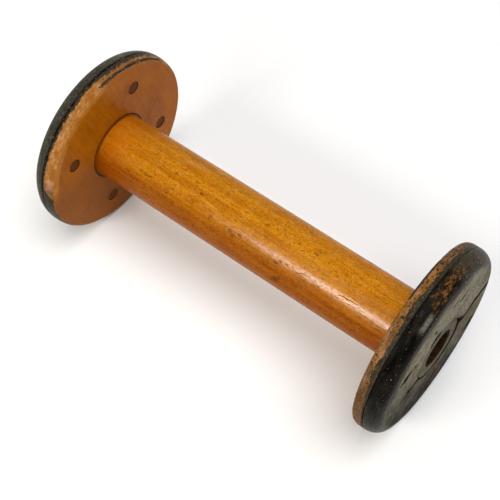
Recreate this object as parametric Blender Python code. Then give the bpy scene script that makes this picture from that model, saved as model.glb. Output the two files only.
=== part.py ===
"""Empty twin-flange wooden mill bobbin, lying on the rims of its two flanges.

The bobbin's axis runs along X, and the end with the painted, most worn face is at +X ("right").
The origin is on the surface that the bobbin lies on, under its middle. +Z is up.

A turned barrel has a thinner tenon at each end. Each tenon passes through a flange glued up from
two plies of wood, and ends flush with the flange's outer face. Four dowels pin the two plies of
each flange together: they show on the face towards the thread, and stop inside the outer ply.
A plain bore for the machine's spindle runs right through the barrel.
"""

import math

import bmesh
import bpy
from mathutils import Matrix, Vector

# Driving dimensions, in metres.
OVERALL_LENGTH = 0.2413
FLANGE_DIAMETER = 0.1143
FLANGE_THICKNESS = 0.0167
BARREL_DIAMETER = 0.0402
TENON_DIAMETER = 0.0368
BORE_DIAMETER = 0.0222
BORE_LIP = 0.0007
SHOULDER_CHAMFER = 0.0006
SEAM_BEVEL = 0.0003
DOWEL_DIAMETER = 0.0080
DOWEL_CHAMFER = 0.0003
DOWEL_DEPTH = 0.0135
DOWEL_CIRCLE_RADIUS = 0.0393
GAP = 0.0003

# What differs between the two hand-turned flanges. The inner edge rounds off over a quarter of an
# ellipse, and so does the whole edge of the outer ply.
FLANGES = {
    "left": {
        "side": -1,
        "inner_ply_thickness": 0.0068,
        "inner_edge_axial": 0.0060,
        "inner_edge_radial": 0.0020,
        "outer_edge_radial": 0.0075,
        "dowel_angles_deg": (63.0, 155.4, 253.8, 339.7),
    },
    "right": {
        "side": 1,
        "inner_ply_thickness": 0.0076,
        "inner_edge_axial": 0.0045,
        "inner_edge_radial": 0.0027,
        "outer_edge_radial": 0.0072,
        "dowel_angles_deg": (48.0, 137.0, 229.0, 316.0),
    },
}

# Roundness.
SEGMENTS = 64
DOWEL_SEGMENTS = 24
INNER_EDGE_STEPS = 4
OUTER_EDGE_STEPS = 7
SMOOTH_ANGLE = math.radians(35)

# Worked out from the above.
HALF_LENGTH = OVERALL_LENGTH / 2
FLANGE_RADIUS = FLANGE_DIAMETER / 2
BARREL_RADIUS = BARREL_DIAMETER / 2
TENON_RADIUS = TENON_DIAMETER / 2
BORE_RADIUS = BORE_DIAMETER / 2
DOWEL_RADIUS = DOWEL_DIAMETER / 2
INNER_FACE = HALF_LENGTH - FLANGE_THICKNESS
# The rims rest on one flat facet each, so the axis is a facet's distance above the surface.
AXIS_HEIGHT = FLANGE_RADIUS * math.cos(math.pi / SEGMENTS)

# Linear colour, roughness.
FINISHES = {
    "barrel_varnish": ((0.46, 0.19, 0.035), 0.32),
    "bare_ply": ((0.42, 0.18, 0.05), 0.45),
    "painted_ply": ((0.012, 0.011, 0.009), 0.38),
    "dowel_end": ((0.12, 0.035, 0.010), 0.50),
}


def clear_scene():
    """Start from a scene with nothing in it."""
    for obj in list(bpy.data.objects):
        bpy.data.objects.remove(obj, do_unlink=True)


def make_material(name):
    """A Principled material with one of the bobbin's finishes."""
    colour, roughness = FINISHES[name]
    material = bpy.data.materials.new(name)
    material.use_nodes = True
    shader = material.node_tree.nodes["Principled BSDF"]
    shader.inputs["Base Color"].default_value = (*colour, 1.0)
    shader.inputs["Roughness"].default_value = roughness
    shader.inputs["Metallic"].default_value = 0.0
    material.diffuse_color = (*colour, 1.0)
    return material


def quarter_ellipse(start, end, steps):
    """Points from start to end, both (x, r), leaving start along the axis and meeting end
    square to it, without the two end points."""
    points = []
    for step in range(1, steps):
        turn = 0.5 * math.pi * step / steps
        x = start[0] + (end[0] - start[0]) * math.sin(turn)
        r = start[1] + (end[1] - start[1]) * (1 - math.cos(turn))
        points.append((x, r))
    return points


def turned(name, outline, segments, material, axis_height):
    """A closed body: a closed outline of (x, r) points turned about the bobbin's axis.

    The outline starts half a segment away from straight down, which puts a flat facet there.
    """
    bm = bmesh.new()
    half_segment = math.pi / segments
    across = Vector((0.0, math.sin(half_segment), -math.cos(half_segment)))
    verts = [bm.verts.new(Vector((x, 0.0, 0.0)) + across * r) for x, r in outline]
    edges = [bm.edges.new((verts[i], verts[(i + 1) % len(verts)])) for i in range(len(verts))]
    bmesh.ops.spin(
        bm,
        geom=verts + edges,
        cent=(0.0, 0.0, 0.0),
        axis=(1.0, 0.0, 0.0),
        angle=math.tau,
        steps=segments,
        use_merge=True,
    )
    bmesh.ops.recalc_face_normals(bm, faces=bm.faces)
    return finish_mesh(name, bm, material, (0.0, 0.0, axis_height))


def finish_mesh(name, bm, material, location):
    """Turn a bmesh into a named, smooth-shaded object."""
    mesh = bpy.data.meshes.new(name)
    bm.to_mesh(mesh)
    bm.free()
    mesh.shade_smooth()
    mesh.set_sharp_from_angle(angle=SMOOTH_ANGLE)
    mesh.materials.append(material)
    obj = bpy.data.objects.new(name, mesh)
    obj.location = location
    bpy.context.scene.collection.objects.link(obj)
    return obj


def rod(name, radius, start_x, end_x, chamfer, centre, material):
    """A round rod along X between two places, with both its ends chamfered."""
    bm = bmesh.new()
    bmesh.ops.create_cone(
        bm,
        cap_ends=True,
        segments=DOWEL_SEGMENTS,
        radius1=radius,
        radius2=radius,
        depth=abs(end_x - start_x),
        matrix=Matrix.Rotation(math.pi / 2, 4, "Y"),
    )
    if chamfer:
        rims = [edge for edge in bm.edges if any(len(face.verts) > 4 for face in edge.link_faces)]
        bmesh.ops.bevel(bm, geom=rims, offset=chamfer, segments=1, affect="EDGES")
    return finish_mesh(name, bm, material, ((start_x + end_x) / 2, centre[0], centre[1]))


def barrel_outline():
    """The barrel's section: bore, end faces, tenons and the body between the flanges."""
    shoulder = INNER_FACE - GAP
    right_half = [
        (shoulder - SHOULDER_CHAMFER, BARREL_RADIUS),
        (shoulder, BARREL_RADIUS - SHOULDER_CHAMFER),
        (shoulder, TENON_RADIUS),
        (HALF_LENGTH, TENON_RADIUS),
        (HALF_LENGTH, BORE_RADIUS + BORE_LIP),
        (HALF_LENGTH - BORE_LIP, BORE_RADIUS),
    ]
    left_half = [(-x, r) for x, r in reversed(right_half)]
    return right_half + left_half


def inner_ply_outline(flange):
    """The section of the ply that faces the thread, for a flange at +X."""
    seam = INNER_FACE + flange["inner_ply_thickness"] - GAP / 2
    hole = TENON_RADIUS + GAP
    edge_start = (INNER_FACE, FLANGE_RADIUS - flange["inner_edge_radial"])
    edge_end = (INNER_FACE + flange["inner_edge_axial"], FLANGE_RADIUS)
    rounding = quarter_ellipse(edge_end, edge_start, INNER_EDGE_STEPS)
    return [
        (INNER_FACE, hole),
        edge_start,
        *reversed(rounding),
        edge_end,
        (seam - SEAM_BEVEL, FLANGE_RADIUS),
        (seam, FLANGE_RADIUS - SEAM_BEVEL),
        (seam, hole),
    ]


def outer_ply_outline(flange):
    """The section of the ply on the bobbin's end, for a flange at +X."""
    seam = INNER_FACE + flange["inner_ply_thickness"] + GAP / 2
    hole = TENON_RADIUS + GAP
    edge_start = (seam + SEAM_BEVEL, FLANGE_RADIUS)
    edge_end = (HALF_LENGTH, FLANGE_RADIUS - flange["outer_edge_radial"])
    rounding = quarter_ellipse(edge_start, edge_end, OUTER_EDGE_STEPS)
    return [
        (seam, hole),
        (seam, FLANGE_RADIUS - SEAM_BEVEL),
        edge_start,
        *rounding,
        edge_end,
        (HALF_LENGTH, hole),
    ]


def on_side(outline, side):
    """An outline made for +X, mirrored to the flange's own side."""
    return [(side * x, r) for x, r in outline]


def dowel_centres(flange):
    """Where a flange's dowels are, as (y, z)."""
    centres = []
    for angle_deg in flange["dowel_angles_deg"]:
        angle = math.radians(angle_deg)
        y = DOWEL_CIRCLE_RADIUS * math.cos(angle)
        z = AXIS_HEIGHT + DOWEL_CIRCLE_RADIUS * math.sin(angle)
        centres.append((y, z))
    return centres


def cut_holes(plies, cutter):
    """Cut one dowel's hole in both plies of a flange."""
    cutter.hide_render = True
    cutter.display_type = "WIRE"
    for ply in plies:
        modifier = ply.modifiers.new(cutter.name, "BOOLEAN")
        modifier.operation = "DIFFERENCE"
        modifier.solver = "EXACT"
        modifier.object = cutter


def build_flange(label, flange, materials):
    """Both plies of one flange, its four dowels and the holes that they fill."""
    side = flange["side"]
    inner_outline = on_side(inner_ply_outline(flange), side)
    outer_outline = on_side(outer_ply_outline(flange), side)
    inner_ply = turned(f"{label}_inner_ply", inner_outline, SEGMENTS, materials["bare_ply"], AXIS_HEIGHT)
    outer_ply = turned(f"{label}_outer_ply", outer_outline, SEGMENTS, materials["painted_ply"], AXIS_HEIGHT)
    dowel_end = INNER_FACE + DOWEL_DEPTH
    for number, centre in enumerate(dowel_centres(flange), start=1):
        rod(
            f"{label}_dowel_{number}",
            DOWEL_RADIUS,
            side * INNER_FACE,
            side * dowel_end,
            DOWEL_CHAMFER,
            centre,
            materials["dowel_end"],
        )
        cutter = rod(
            f"{label}_hole_cutter_{number}",
            DOWEL_RADIUS + GAP,
            side * (INNER_FACE - FLANGE_THICKNESS),
            side * (dowel_end + GAP),
            0.0,
            centre,
            materials["dowel_end"],
        )
        cut_holes((inner_ply, outer_ply), cutter)


def main():
    clear_scene()
    materials = {name: make_material(name) for name in FINISHES}
    turned("barrel", barrel_outline(), SEGMENTS, materials["barrel_varnish"], AXIS_HEIGHT)
    for label, flange in FLANGES.items():
        build_flange(label, flange, materials)


main()
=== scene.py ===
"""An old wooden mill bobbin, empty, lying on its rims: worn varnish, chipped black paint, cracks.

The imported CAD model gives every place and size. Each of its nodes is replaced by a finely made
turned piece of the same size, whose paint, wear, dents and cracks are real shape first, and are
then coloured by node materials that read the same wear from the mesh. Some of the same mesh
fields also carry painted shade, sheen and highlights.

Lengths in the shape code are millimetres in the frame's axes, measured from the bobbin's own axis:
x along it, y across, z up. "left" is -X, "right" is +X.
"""

import math
from itertools import product

import bmesh
import bpy
import numpy as np
from mathutils import Matrix, Vector

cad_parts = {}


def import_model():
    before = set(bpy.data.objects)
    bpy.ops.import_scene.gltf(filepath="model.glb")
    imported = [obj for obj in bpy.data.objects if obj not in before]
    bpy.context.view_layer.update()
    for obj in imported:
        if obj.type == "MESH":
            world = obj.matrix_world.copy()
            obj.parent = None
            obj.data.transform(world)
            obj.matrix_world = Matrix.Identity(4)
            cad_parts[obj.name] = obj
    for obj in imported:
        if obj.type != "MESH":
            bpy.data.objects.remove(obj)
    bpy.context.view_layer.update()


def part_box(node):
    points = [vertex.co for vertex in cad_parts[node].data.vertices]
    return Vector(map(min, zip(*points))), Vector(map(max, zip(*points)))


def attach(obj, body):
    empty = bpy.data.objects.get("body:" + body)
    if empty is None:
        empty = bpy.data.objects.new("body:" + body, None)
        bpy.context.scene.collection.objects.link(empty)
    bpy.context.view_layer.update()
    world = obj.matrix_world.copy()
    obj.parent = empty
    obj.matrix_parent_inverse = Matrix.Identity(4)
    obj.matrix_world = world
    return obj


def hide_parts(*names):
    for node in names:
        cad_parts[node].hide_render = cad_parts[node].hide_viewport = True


MM = 0.001
SIDES = {"left": -1, "right": 1}

# How finely the surfaces are made, in mm.
RIM_STEP = 0.40
FACE_STEP = 0.55
INNER_FACE_STEP = 0.75
BARREL_STEP = 0.62
BORE_STEP = 3.0
HIDDEN_STEP = 4.0
PLY_SEGMENTS = 880
BARREL_SEGMENTS = 212
DOWEL_SEGMENTS = 72

# Relief, in mm.
PAINT_THICKNESS = 0.13
PIT_DEPTH = 0.07
HAIRLINE = 0.04
CRACK_STEP = 0.9
CRACK_WANDER = 0.13
CRACK_CLEAR = 0.6
BARREL_CRACK_WIDTH = 0.30
BARREL_CRACK_DEPTH = 0.8
SEAM_GAP = 0.12
SEAM_BEVEL = 0.18
GROOVE_RADIUS = 21.1
GROOVE_WIDTH = 0.38
GROOVE_DEPTH = 0.38
STAIN_REACH = 1.7
DOWEL_CLEAR = 0.16
AXIS_HOLE = 0.02
PLY_CLEAR = 0.3
SHOULDER_CLEAR = 0.3
SHOULDER_CHAMFER = 0.6
CRACK_FLOOR = 0.02

# Noise is scaled up to fill -1 to 1, and each octave is taken from another place.
NOISE_LIFT = 1.6
OCTAVE_SHIFT = 17.3

# The first random seed of each list of cracks.
BARREL_CRACK_SEED = 40
END_CRACK_SEED = 90

# A corner sharper than this is kept, in degrees.
CORNER_DEG = 40

# No stretch of a noise, and the colour of the barrel's open pores.
EVEN = (1, 1, 1)
BARREL_PORE = (0.11, 0.030, 0.002)

# The grain of the plies runs this far from +Y towards +Z, in degrees. The inner plies' colour
# turns it further by their own amounts.
OUTER_GRAIN_DEG = 17.0
INNER_GRAIN_DEG = 107.0
GRAIN_TURN_DEG = {"left": 0.0, "right": 65.0}


# --- Noise and small helpers ---


class Perlin:
    """Smooth gradient noise, about -1 to 1, at points in any shape of array (..., 3)."""

    def __init__(self, seed):
        rng = np.random.default_rng(seed)
        self.order = np.tile(rng.permutation(256), 2)
        slopes = rng.normal(size=(256, 3))
        self.slopes = slopes / np.linalg.norm(slopes, axis=1)[:, None]

    def __call__(self, points):
        cell = np.floor(points).astype(np.int64)
        inside = points - cell
        fade = inside**3 * (inside * (inside * 6 - 15) + 10)
        total = np.zeros(points.shape[:-1])
        for corner in product((0, 1), repeat=3):
            i, j, k = np.moveaxis((cell + corner) & 255, -1, 0)
            slope = self.slopes[self.order[self.order[self.order[i] + j] + k]]
            weight = np.prod(np.where(corner, fade, 1 - fade), axis=-1)
            total += weight * np.einsum("...i,...i", slope, inside - corner)
        return NOISE_LIFT * total

    def fractal(self, points, octaves, gain=0.55):
        """Octaves of the noise on top of each other."""
        total, share, size = 0.0, 1.0, 0.0
        for octave in range(octaves):
            total = total + share * self(points * 2.0**octave + OCTAVE_SHIFT * octave)
            size += share
            share *= gain
        return total / size


def add_object(name, data):
    """A new object in the scene."""
    obj = bpy.data.objects.new(name, data)
    bpy.context.scene.collection.objects.link(obj)
    return obj


def smooth(low, high, value):
    """0 below low, 1 above high, and a smooth step between. low may be the larger one."""
    t = np.clip((value - low) / (high - low), 0.0, 1.0)
    return t * t * (3 - 2 * t)


def window(value, low, high, soft):
    """1 between low and high, fading to 0 over soft outside them."""
    return smooth(low - soft, low, value) * smooth(high + soft, high, value)


def degrees_from(psi_deg, centre_deg):
    """The signed angle from centre, between -180 and 180."""
    return (psi_deg - centre_deg + 180.0) % 360.0 - 180.0


def sector(psi_deg, start_deg, end_deg, soft_deg):
    """1 between two angles, counted anticlockwise from start, fading to 0 over soft outside."""
    half = ((end_deg - start_deg) % 360.0) / 2
    away = np.abs(degrees_from(psi_deg, start_deg + half))
    return smooth(half + soft_deg, half, away)


# --- The frame's sizes, in mm ---


def read_sizes():
    """The bobbin's sizes in mm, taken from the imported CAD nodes."""
    size = {}
    low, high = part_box("barrel")
    size["half_length"] = high.x / MM
    outer_low, outer_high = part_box("right_outer_ply")
    size["axis_z"] = (outer_low.z + outer_high.z) / 2 / MM
    size["flange_radius"] = (outer_high.z - outer_low.z) / 2 / MM
    size["barrel_radius"] = (high.z - low.z) / 2 / MM
    for label in SIDES:
        inner_low, inner_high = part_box(f"{label}_inner_ply")
        ends = sorted((abs(inner_low.x), abs(inner_high.x)))
        size["inner_face"] = ends[0] / MM
        outer_ends = [abs(corner.x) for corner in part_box(f"{label}_outer_ply")]
        size[f"{label}_seam"] = (ends[1] + min(outer_ends)) / 2 / MM
    dowel_low, dowel_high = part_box("left_dowel_1")
    size["dowel_radius"] = (dowel_high.z - dowel_low.z) / 2 / MM
    size["dowel_end"] = -dowel_low.x / MM
    return size


def dowel_centres(label, size):
    """Where one flange's four dowels are, as (y, z) from the axis, in mm."""
    centres = []
    for number in range(1, 5):
        low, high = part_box(f"{label}_dowel_{number}")
        middle = (low + high) / 2 / MM
        centres.append((middle.y, middle.z - size["axis_z"]))
    return centres


# What the frame's boxes can't say: the tenon, the bore and how each flange's edges are rounded.
TENON_RADIUS = 18.4
BORE_RADIUS = 11.1
BORE_LIP = 0.7
EDGES = {
    "left": {"inner_axial": 6.0, "inner_radial": 2.0, "outer_radial": 7.5},
    "right": {"inner_axial": 4.5, "inner_radial": 2.7, "outer_radial": 7.2},
}


# --- Turned meshes ---


class Outline:
    """A closed section of (x, r) points, drawn run by run. Each run has a zone: its material."""

    def __init__(self, start):
        self.here = start
        self.points = []
        self.zones = []

    def line(self, end, step, zone=0):
        """A straight run from the last place."""
        count = max(1, math.ceil(math.dist(self.here, end) / step))
        for i in range(count):
            self.add_between(end, i / count, i / count, zone)
        self.here = end

    def quarter(self, end, step, along_x_first, zone=0):
        """A quarter of an ellipse from the last place, leaving it along x or square to x."""
        count = max(2, math.ceil(1.1 * math.dist(self.here, end) / step))
        for i in range(count):
            turn = 0.5 * math.pi * i / count
            first, last = math.sin(turn), 1 - math.cos(turn)
            along, across = (first, last) if along_x_first else (last, first)
            self.add_between(end, along, across, zone)
        self.here = end

    def add_between(self, end, along, across, zone):
        """A point this far along x and this far across it, each as a part of the way to end."""
        (x, r), (end_x, end_r) = self.here, end
        self.points.append((x + (end_x - x) * along, r + (end_r - r) * across))
        self.zones.append(zone)


class Turned:
    """An outline turned about the axis into a grid of points.

    The outline goes with the solid on its right. Values over the surface are arrays of rings by
    segments: x (counted towards the bobbin's end), r, psi (degrees from +Y towards +Z), along
    (mm of outline so far) and the surface's own normal. fields become the mesh's attributes.
    """

    def __init__(self, outline, segments, side=1):
        places = np.array(outline.points)
        ahead = np.roll(places, -1, axis=0) - places
        lengths = np.linalg.norm(ahead, axis=1)
        ahead /= lengths[:, None]
        tangent = ahead + np.roll(ahead, 1, axis=0)
        tangent /= np.linalg.norm(tangent, axis=1)[:, None] + 1e-9
        ones = np.ones((len(places), segments))
        self.side = side
        self.zones = outline.zones
        self.x = places[:, :1] * ones
        self.r = places[:, 1:] * ones
        self.along = np.r_[0, np.cumsum(lengths)[:-1]][:, None] * ones
        self.normal_x = -tangent[:, 1:] * ones
        self.normal_r = tangent[:, :1] * ones
        self.angle = (np.arange(segments) + 0.5)[None, :] / segments * math.tau * ones
        self.psi = np.degrees(self.angle)
        self.fields = {}

    def points(self):
        """The grid's places in mm, from the bobbin's axis."""
        return np.stack([self.side * self.x, self.y(), self.z()], axis=-1)

    def y(self):
        return self.r * np.cos(self.angle)

    def z(self):
        return self.r * np.sin(self.angle)

    def around(self, start_deg, end_deg, soft_deg):
        """1 between two angles round the axis, as sector."""
        return sector(self.psi, start_deg, end_deg, soft_deg)

    def push(self, amount):
        """Move the surface out along its own normal."""
        self.x = self.x + amount * self.normal_x
        self.r = self.r + amount * self.normal_r

    def build(self, name, axis_z, materials):
        """The mesh object, in metres, with each field as a point attribute."""
        rings, segments = self.x.shape
        places = self.points()
        places[..., 2] += axis_z
        here = np.arange(rings * segments).reshape(rings, segments)
        next_ring = np.roll(here, -1, axis=0)
        quads = np.stack(
            [here, np.roll(here, -1, axis=1), np.roll(next_ring, -1, axis=1), next_ring], axis=-1
        )
        if self.side < 0:
            quads = quads[..., ::-1]
        mesh = bpy.data.meshes.new(name)
        mesh.vertices.add(rings * segments)
        mesh.vertices.foreach_set("co", (places * MM).astype(np.float32).ravel())
        mesh.loops.add(quads.size)
        mesh.loops.foreach_set("vertex_index", quads.astype(np.int32).ravel())
        mesh.polygons.add(rings * segments)
        mesh.polygons.foreach_set("loop_start", np.arange(0, quads.size, 4, dtype=np.int32))
        for material in materials:
            mesh.materials.append(material)
        mesh.polygons.foreach_set("material_index", np.repeat(self.zones, segments).astype(np.int32))
        mesh.update(calc_edges=True)
        for field, values in self.fields.items():
            attribute = mesh.attributes.new(field, "FLOAT", "POINT")
            attribute.data.foreach_set("value", values.astype(np.float32).ravel())
        return add_object(name, mesh)


def stands_for(obj, node):
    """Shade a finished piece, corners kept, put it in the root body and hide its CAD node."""
    obj.data.shade_smooth()
    obj.data.set_sharp_from_angle(angle=math.radians(CORNER_DEG))
    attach(obj, "root")
    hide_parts(node)


# --- Cutters: dowel holes, cracks and gouges ---


def prism(rows, name, axis_z):
    """A closed body whose rows each have the same number of corners, in mm from the axis."""
    rows = np.array(rows, dtype=float)
    count, corners = rows.shape[:2]
    places = rows.reshape(-1, 3).copy()
    places[:, 2] += axis_z
    faces = [tuple(range(corners))[::-1], tuple(range((count - 1) * corners, count * corners))]
    for i in range(count - 1):
        for j in range(corners):
            k = (j + 1) % corners
            a, b = i * corners, (i + 1) * corners
            faces.append((a + j, a + k, b + k, b + j))
    mesh = bpy.data.meshes.new(name)
    mesh.from_pydata((places * MM).tolist(), [], faces)
    mesh.update()
    return add_object(name, mesh)


def hole_cutter(name, centre, radius, start_x, end_x, axis_z):
    """A round cutter along X."""
    corners = np.linspace(0, math.tau, DOWEL_SEGMENTS, endpoint=False)
    y = centre[0] + radius * np.cos(corners)
    z = centre[1] + radius * np.sin(corners)
    rows = [[(x, y[i], z[i]) for i in range(len(y))] for x in sorted((start_x, end_x))]
    return prism(rows, name, axis_z)


def on_end(path, face_x):
    """Places and outward directions for a path of (y, z) points on an end face at face_x."""
    path = np.array(path, dtype=float)
    ones = np.ones(len(path))
    places = np.stack([face_x * ones, path[:, 0], path[:, 1]], axis=1)
    outward = np.stack([math.copysign(1, face_x) * ones, 0 * ones, 0 * ones], axis=1)
    return places, outward


def on_barrel(path, radius):
    """Places and outward directions for a path of (x, psi in degrees) points on the barrel."""
    path = np.array(path, dtype=float)
    psi = np.radians(path[:, 1])
    outward = np.stack([0 * psi, np.cos(psi), np.sin(psi)], axis=1)
    places = outward * radius
    places[:, 0] = path[:, 0]
    return places, outward


def crack_cutter(name, route, widths, depth, seed, axis_z):
    """A jagged wedge along a route over a surface, as wide there as widths says at each of the
    route's points, and closing towards a line at its depth."""
    rng = np.random.default_rng(seed)
    places, outward = route
    lengths = np.r_[0, np.cumsum(np.linalg.norm(np.diff(places, axis=0), axis=1))]
    count = max(5, int(lengths[-1] / CRACK_STEP))
    at = np.linspace(0, lengths[-1], count)
    centre = np.stack([np.interp(at, lengths, places[:, k]) for k in range(3)], axis=1)
    up = np.stack([np.interp(at, lengths, outward[:, k]) for k in range(3)], axis=1)
    across = np.cross(np.gradient(centre, axis=0), up)
    across /= np.linalg.norm(across, axis=1)[:, None]
    wander = rng.normal(0, CRACK_WANDER, count)
    wander[[0, -1]] = 0
    centre += across * wander[:, None]
    half = 0.5 * np.interp(at, lengths, widths) * rng.uniform(0.75, 1.2, count)
    half = np.maximum(half, HAIRLINE / 2)
    sunk = depth * (0.3 + 0.7 * half / half.max())
    rows = []
    for place, normal, side, h, d in zip(centre, up, across, half, sunk):
        top = place + normal * CRACK_CLEAR
        flare = h * (1 + CRACK_CLEAR / d)
        bottom = place - normal * d
        foot = side * CRACK_FLOOR
        corners = (top - side * flare, top + side * flare, bottom + foot, bottom - foot)
        rows.append([tuple(corner) for corner in corners])
    return prism(rows, name, axis_z)


def cut_away(obj, cutters, inside):
    """Cut each cutter out of obj and apply the result. The new walls are made of inside."""
    for cutter in cutters:
        face_out(cutter)
        cutter.data.materials.append(inside)
        modifier = obj.modifiers.new(cutter.name, "BOOLEAN")
        modifier.operation = "DIFFERENCE"
        modifier.solver = "MANIFOLD"
        modifier.material_mode = "TRANSFER"
        modifier.object = cutter
    bpy.context.view_layer.update()
    evaluated = obj.evaluated_get(bpy.context.evaluated_depsgraph_get())
    mesh = bpy.data.meshes.new_from_object(evaluated)
    before = obj.data
    obj.modifiers.clear()
    obj.data = mesh
    bpy.data.meshes.remove(before)
    mesh.name = obj.name
    for cutter in cutters:
        shape = cutter.data
        bpy.data.objects.remove(cutter)
        bpy.data.meshes.remove(shape)


def face_out(obj):
    """Turn a closed body's faces outwards."""
    bm = bmesh.new()
    bm.from_mesh(obj.data)
    bmesh.ops.recalc_face_normals(bm, faces=bm.faces)
    bm.to_mesh(obj.data)
    bm.free()


# --- The barrel ---

BODY, PAINTED_END, BORE = 0, 1, 2

# Dark dents and stains on the barrel: x, psi, length, width (mm), depth (mm), darkness.
BARREL_MARKS = [
    (27.5, 171, 3.2, 2.6, 0.10, 0.75),
    (29.5, 164, 2.2, 1.6, 0.06, 0.65),
    (25.5, 178, 2.6, 1.4, 0.05, 0.55),
    (-5.0, 144, 2.2, 1.5, 0.14, 0.70),
    (-7.5, 139, 1.8, 1.3, 0.10, 0.55),
    (-1.5, 137, 1.3, 1.1, 0.12, 0.85),
    (-68.0, 135, 4.6, 0.9, 0.12, 0.70),
    (-73.0, 134, 1.6, 1.0, 0.08, 0.60),
    (-86.0, 151, 1.2, 1.0, 0.08, 0.60),
    (-53.0, 107, 1.3, 1.0, 0.06, 0.55),
    (-33.0, 113, 1.5, 1.0, 0.08, 0.75),
    (9.5, 98, 1.9, 0.9, 0.08, 0.75),
    (30.5, 97, 1.5, 0.8, 0.06, 0.60),
    (42.0, 96, 1.6, 0.9, 0.08, 0.75),
    (43.0, 90, 1.3, 0.9, 0.06, 0.65),
    (19.0, 89, 1.6, 1.2, 0.04, 0.40),
    (-70.0, 96, 1.1, 0.9, 0.05, 0.55),
    (24.5, 143, 2.4, 0.8, 0.12, 0.90),
    (27.0, 138, 1.2, 0.8, 0.10, 0.80),
    (31.0, 136, 1.6, 0.8, 0.10, 0.80),
    (34.5, 134, 1.0, 0.7, 0.08, 0.75),
    (-22.0, 136, 1.4, 1.0, 0.10, 0.55),
    (-50.0, 131, 2.6, 0.9, 0.06, 0.45),
    (62.0, 99, 1.4, 0.9, 0.05, 0.45),
    (71.0, 78, 1.8, 0.9, 0.05, 0.40),
    (-12.0, 300, 3.0, 2.0, 0.10, 0.60),
    (58.0, 255, 2.6, 1.2, 0.10, 0.65),
    (-77.0, 28, 2.4, 1.6, 0.10, 0.60),
    (40.0, 352, 3.4, 1.0, 0.10, 0.60),
]

# Fine cracks in the barrel's varnish and wood, as (x, psi) points.
BARREL_CRACKS = [
    [(36.0, 139.5), (39.0, 137.0), (41.5, 134.0), (45.5, 132.5)],
    [(63.5, 131.5), (67.0, 129.5), (70.5, 130.0), (76.0, 128.0)],
    [(82.5, 166.0), (81.0, 160.0), (81.5, 154.0), (83.0, 149.0)],
    [(-96.0, 152.0), (-90.0, 150.5), (-84.0, 151.0)],
    [(-20.0, 262.0), (-6.0, 260.0), (9.0, 261.0), (22.0, 258.5)],
    [(50.0, 20.0), (61.0, 22.0), (72.0, 21.0)],
]


def barrel_outline(size, step):
    """The section of the barrel: end faces, tenons, shoulders, body and bore."""
    end, radius = size["half_length"], size["barrel_radius"]
    shoulder, chamfer = size["inner_face"] - SHOULDER_CLEAR, SHOULDER_CHAMFER
    outline = Outline((-end, BORE_RADIUS + BORE_LIP))
    outline.line((-end, TENON_RADIUS), FACE_STEP * step, PAINTED_END)
    outline.line((-shoulder, TENON_RADIUS), HIDDEN_STEP, BORE)
    outline.line((-shoulder, radius - chamfer), 0.6, BORE)
    outline.quarter((-shoulder + chamfer, radius), 0.3, False)
    outline.line((shoulder - chamfer, radius), BARREL_STEP * step)
    outline.quarter((shoulder, radius - chamfer), 0.3, True)
    outline.line((shoulder, TENON_RADIUS), 0.6, BORE)
    outline.line((end, TENON_RADIUS), HIDDEN_STEP, BORE)
    outline.line((end, BORE_RADIUS + BORE_LIP), FACE_STEP * step, PAINTED_END)
    outline.line((end - BORE_LIP, BORE_RADIUS), 0.4, BORE)
    outline.line((-end + BORE_LIP, BORE_RADIUS), BORE_STEP * step, BORE)
    outline.line((-end, BORE_RADIUS + BORE_LIP), 0.4, BORE)
    return outline


def barrel_marks(turned, radius):
    """How dark and how deep the barrel is marked, over its surface."""
    ragged = Perlin(11).fractal(turned.points() * 0.9, 2)
    dark = np.zeros_like(turned.x)
    deep = np.zeros_like(turned.x)
    for x, psi, length, width, depth, darkness in BARREL_MARKS:
        along = (turned.x - x) / length
        around = np.radians(degrees_from(turned.psi, psi)) * radius / width
        away = np.hypot(along, around) + 0.45 * ragged
        spot = smooth(1.15, 0.35, away)
        dark = np.maximum(dark, darkness * spot)
        deep = np.maximum(deep, depth * spot)
    return dark, deep


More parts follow.
